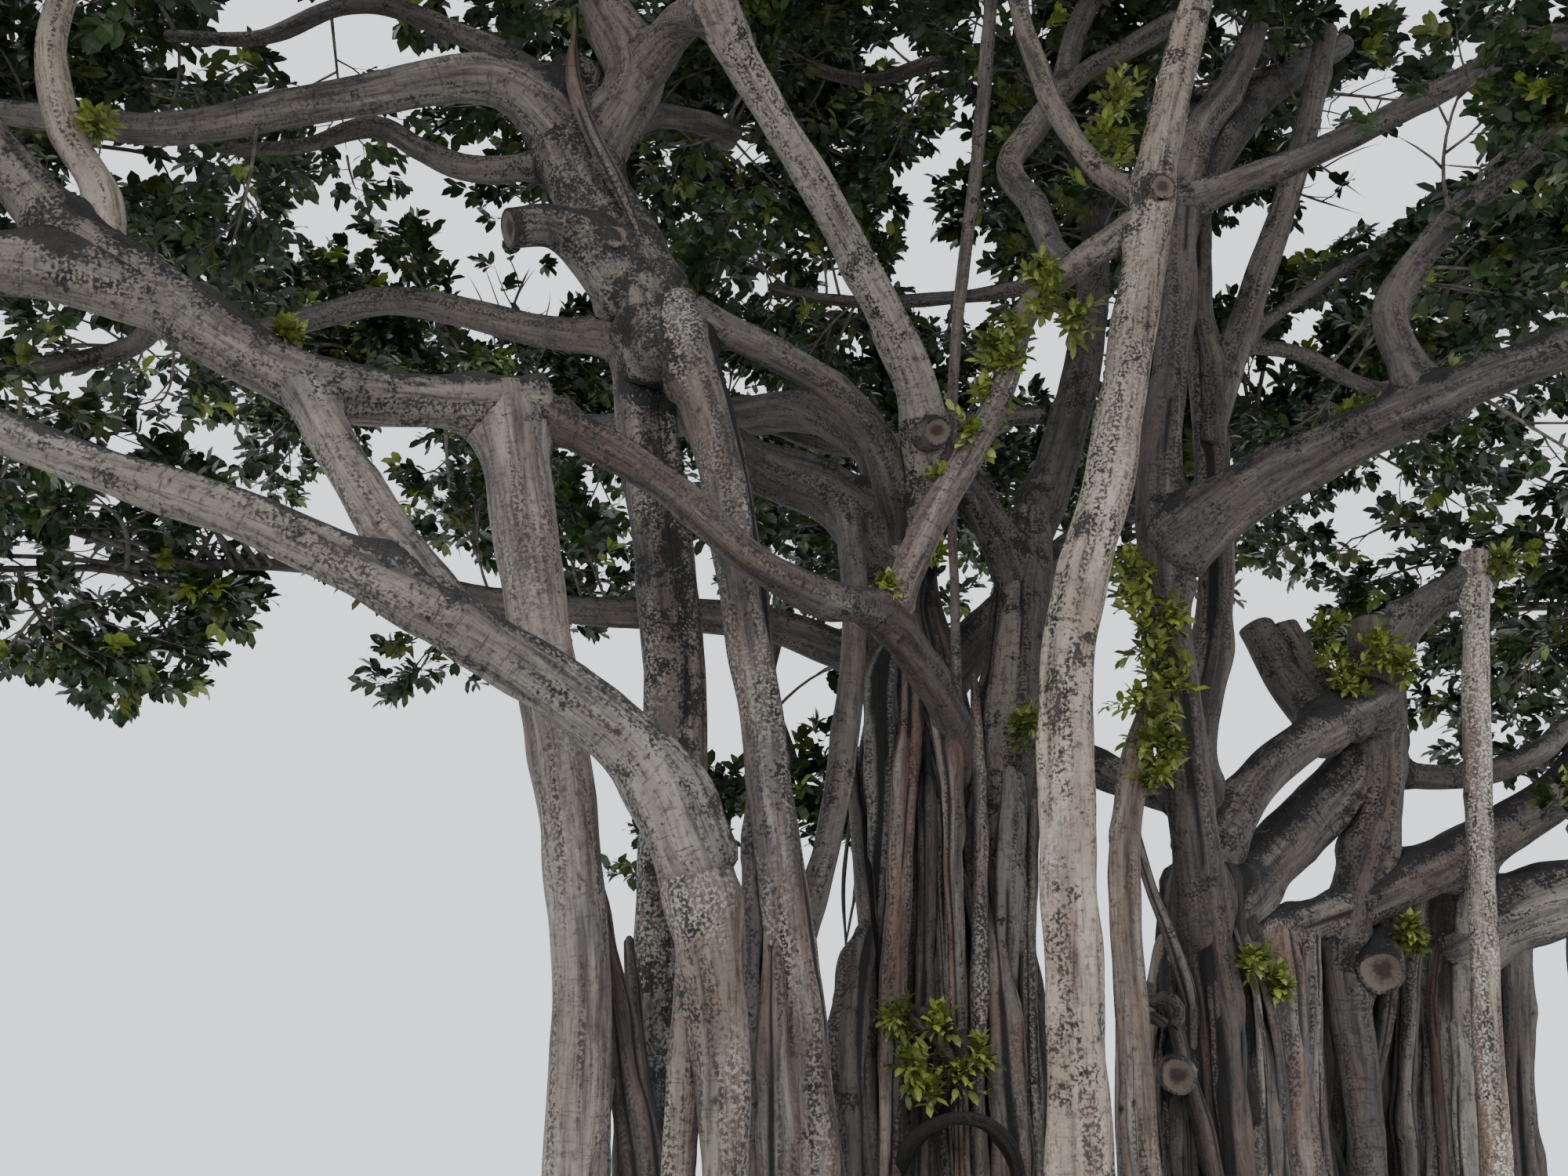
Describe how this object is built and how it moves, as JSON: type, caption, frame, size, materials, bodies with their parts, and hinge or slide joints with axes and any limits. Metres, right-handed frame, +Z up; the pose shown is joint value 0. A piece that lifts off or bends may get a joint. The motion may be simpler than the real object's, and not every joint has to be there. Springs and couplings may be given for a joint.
{
  "type": "banyan tree",
  "caption": "Mature banyan: a fused trunk among aerial-root pillars, long level boughs that graft together, and a broad open crown of leaf masses.",
  "frame": {"origin": "on the ground, inside the flat cut under the main trunk", "axes": "+Z up, -Y towards the side that the picture shows, +X to that view's right"},
  "size_m": [16.6013, 15.6324, 12.1084],
  "materials": {
    "bark": "dry grey-brown bark with dark stains",
    "pale_bark": "smooth pale grey bark",
    "foliage": "dark glossy green leaves"
  },
  "bodies": {
    "root": {"trunk": "bark", "right_trunk": "bark", "left_pillar": "bark", "front_pillar": "pale_bark", "slim_pillars": "bark", "bent_pillar": "bark", "pale_pillar": "pale_bark", "pale_root": "pale_bark", "twisted_pillar": "bark", "edge_pillar": "pale_bark", "broad_pillar": "bark", "second_stem": "bark", "riser": "bark", "left_stem": "bark", "right_stem": "bark", "fluted_stem": "bark", "right_riser": "bark", "low_left_bough": "bark", "upper_left_bough": "bark", "left_strut": "bark", "left_riser": "pale_bark", "crossing_limb": "bark", "crossing_fork": "bark", "slanting_root": "bark", "high_left_bough": "bark", "mid_left_bough": "bark", "rear_low_bough": "bark", "leaning_limb": "bark", "shoulder_limb": "bark", "crown_fork_left": "bark", "crown_fork_right": "bark", "rear_crown_branch": "bark", "rear_left_bough": "bark", "rear_rail": "bark", "right_bough": "bark", "high_right_bough": "bark", "dark_bough": "bark", "right_fork_low": "bark", "right_fork_high": "bark", "stump_arm": "bark", "low_rail": "bark", "low_right_bough": "bark", "back_bough": "bark", "back_right_bough": "bark", "foliage_right": "foliage", "foliage_back_right": "foliage", "foliage_back": "foliage", "foliage_back_left": "foliage", "foliage_left": "foliage", "foliage_front_left": "foliage", "foliage_front": "foliage", "foliage_front_right": "foliage", "foliage_low_left": "foliage", "foliage_low_back_left": "foliage", "foliage_low_right": "foliage", "foliage_upper_front_right": "foliage", "foliage_upper_back_right": "foliage", "foliage_upper_back_left": "foliage", "foliage_upper_left": "foliage", "foliage_top": "foliage"}
  },
  "joints": []
}
